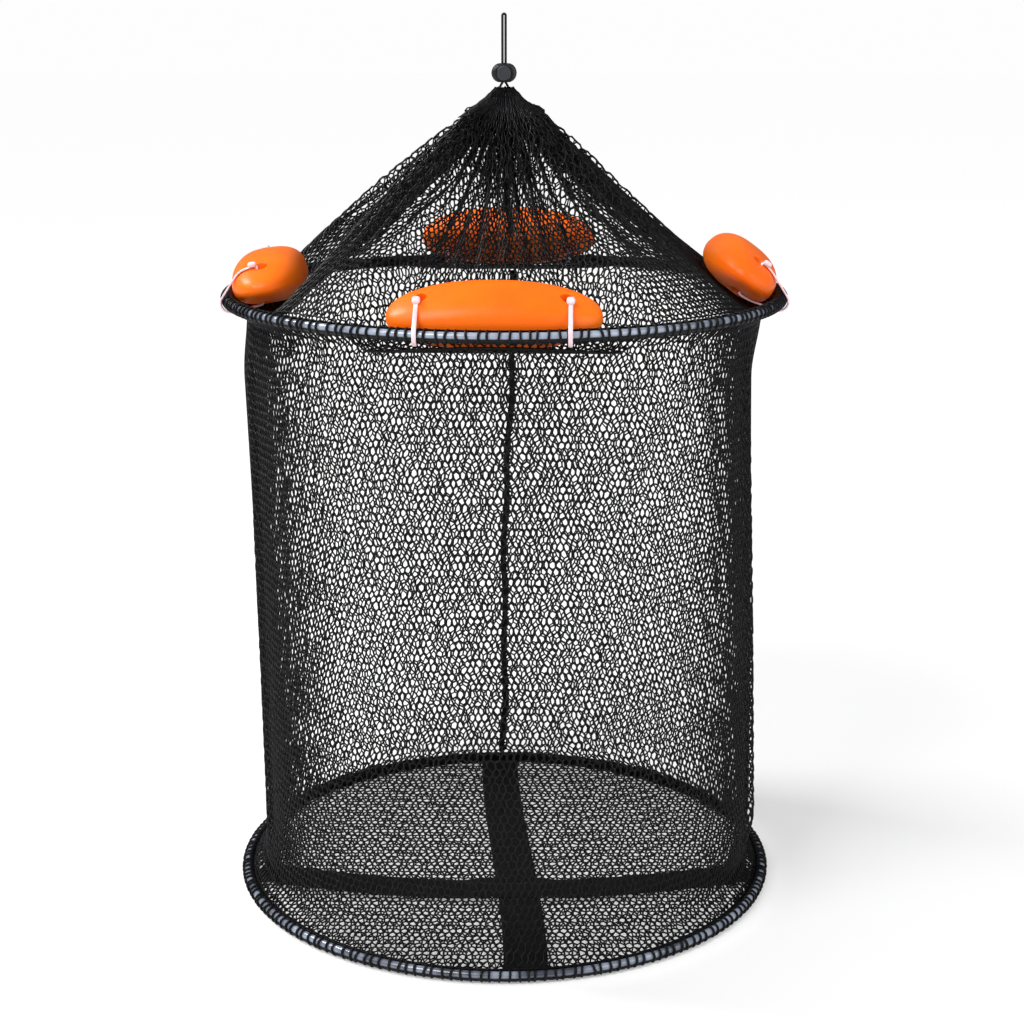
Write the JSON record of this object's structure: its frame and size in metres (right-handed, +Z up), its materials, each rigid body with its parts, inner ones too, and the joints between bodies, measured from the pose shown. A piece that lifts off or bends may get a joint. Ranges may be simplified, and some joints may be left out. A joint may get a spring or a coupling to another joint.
{
  "type": "floating keep net",
  "caption": "Floating keep net: a black netting basket between two wire hoops, with a gathered netting cone, drawcord and cord lock on top and four orange floats tied to the upper hoop.",
  "frame": {"origin": "top of the drawcord loop, where the net hangs", "axes": "+X right, +Y back, +Z up along the net's axis; the lock's button and the front float face -Y"},
  "size_m": [0.3248, 0.3245, 0.5154],
  "materials": {
    "drawcord": "thin black cord",
    "cord_lock": "fine moulded charcoal plastic",
    "lock_spring": "plain spring steel",
    "hoop_sheath": "satin grey-blue plastic tube",
    "hoop_wire": "drawn steel wire",
    "hoop_ferrule": "crimped steel sleeve",
    "net_hem": "dense black netting lashed round the hoop",
    "netting": "knotless black netting",
    "net_seam": "rolled and sewn netting edge",
    "webbing": "woven black webbing",
    "float": "satin moulded orange, with a parting seam",
    "cable_tie": "translucent whitish nylon"
  },
  "bodies": {
    "drawcord": {"drawcord": "drawcord"},
    "cord_lock": {"cord_lock_body": "cord_lock", "cord_lock_spring": "lock_spring"},
    "lock_button": {"cord_lock_button": "cord_lock"},
    "top_hoop": {"top_hoop_wire": "hoop_wire", "top_hoop_sheath": "hoop_sheath", "top_hoop_ferrule": "hoop_ferrule", "top_hoop_hem": "net_hem", "net_cone": "netting", "cone_seam": "net_seam", "net_wall": "netting", "wall_seam": "net_seam"},
    "float_front": {"float_front": "float", "tie_front_left": "cable_tie", "tie_front_right": "cable_tie"},
    "float_left": {"float_left": "float", "tie_left_left": "cable_tie", "tie_left_right": "cable_tie"},
    "float_right": {"float_right": "float", "tie_right_left": "cable_tie", "tie_right_right": "cable_tie"},
    "float_back": {"float_back": "float", "tie_back_left": "cable_tie", "tie_back_right": "cable_tie"},
    "base_hoop": {"base_hoop_wire": "hoop_wire", "base_hoop_sheath": "hoop_sheath", "base_hoop_ferrule": "hoop_ferrule", "base_hoop_hem": "net_hem", "net_floor": "netting", "strap_front_back": "webbing", "strap_left_right": "webbing"}
  },
  "joints": [
    {"name": "lock_slide", "type": "slide", "parent": "drawcord", "child": "cord_lock", "axis": [0, 0, 1], "range_m": [0, 0.018]},
    {"name": "button_press", "type": "slide", "parent": "cord_lock", "child": "lock_button", "axis": [0, 1, 0], "range_m": [0, 0.0025], "stiffness_N_per_m": 300, "springref_m": -0.003, "deforming": ["cord_lock_spring"]},
    {"name": "cone_fold", "type": "slide", "parent": "drawcord", "child": "top_hoop", "axis": [0, 0, 1], "range_m": [0, 0.1], "deforming": ["net_cone", "cone_seam"]},
    {"name": "wall_fold", "type": "slide", "parent": "top_hoop", "child": "base_hoop", "axis": [0, 0, 1], "range_m": [0, 0.33], "deforming": ["net_wall", "wall_seam"]},
    {"name": "float_front_tilt", "type": "hinge", "parent": "top_hoop", "child": "float_front", "pos_m": [-0.00541, -0.15495, -0.1579], "axis": [0.9994, -0.0349, 0], "range_deg": [0, 38]},
    {"name": "float_left_tilt", "type": "hinge", "parent": "top_hoop", "child": "float_left", "pos_m": [-0.15499, -0.00406, -0.1579], "axis": [0.0262, -0.9997, 0], "range_deg": [0, 20]},
    {"name": "float_right_tilt", "type": "hinge", "parent": "top_hoop", "child": "float_right", "pos_m": [0.15504, 0.00135, -0.1579], "axis": [-0.0087, 1, 0], "range_deg": [0, 28]},
    {"name": "float_back_tilt", "type": "hinge", "parent": "top_hoop", "child": "float_back", "pos_m": [0.00271, 0.15502, -0.1579], "axis": [-0.9998, 0.0175, 0], "range_deg": [0, 25]}
  ]
}
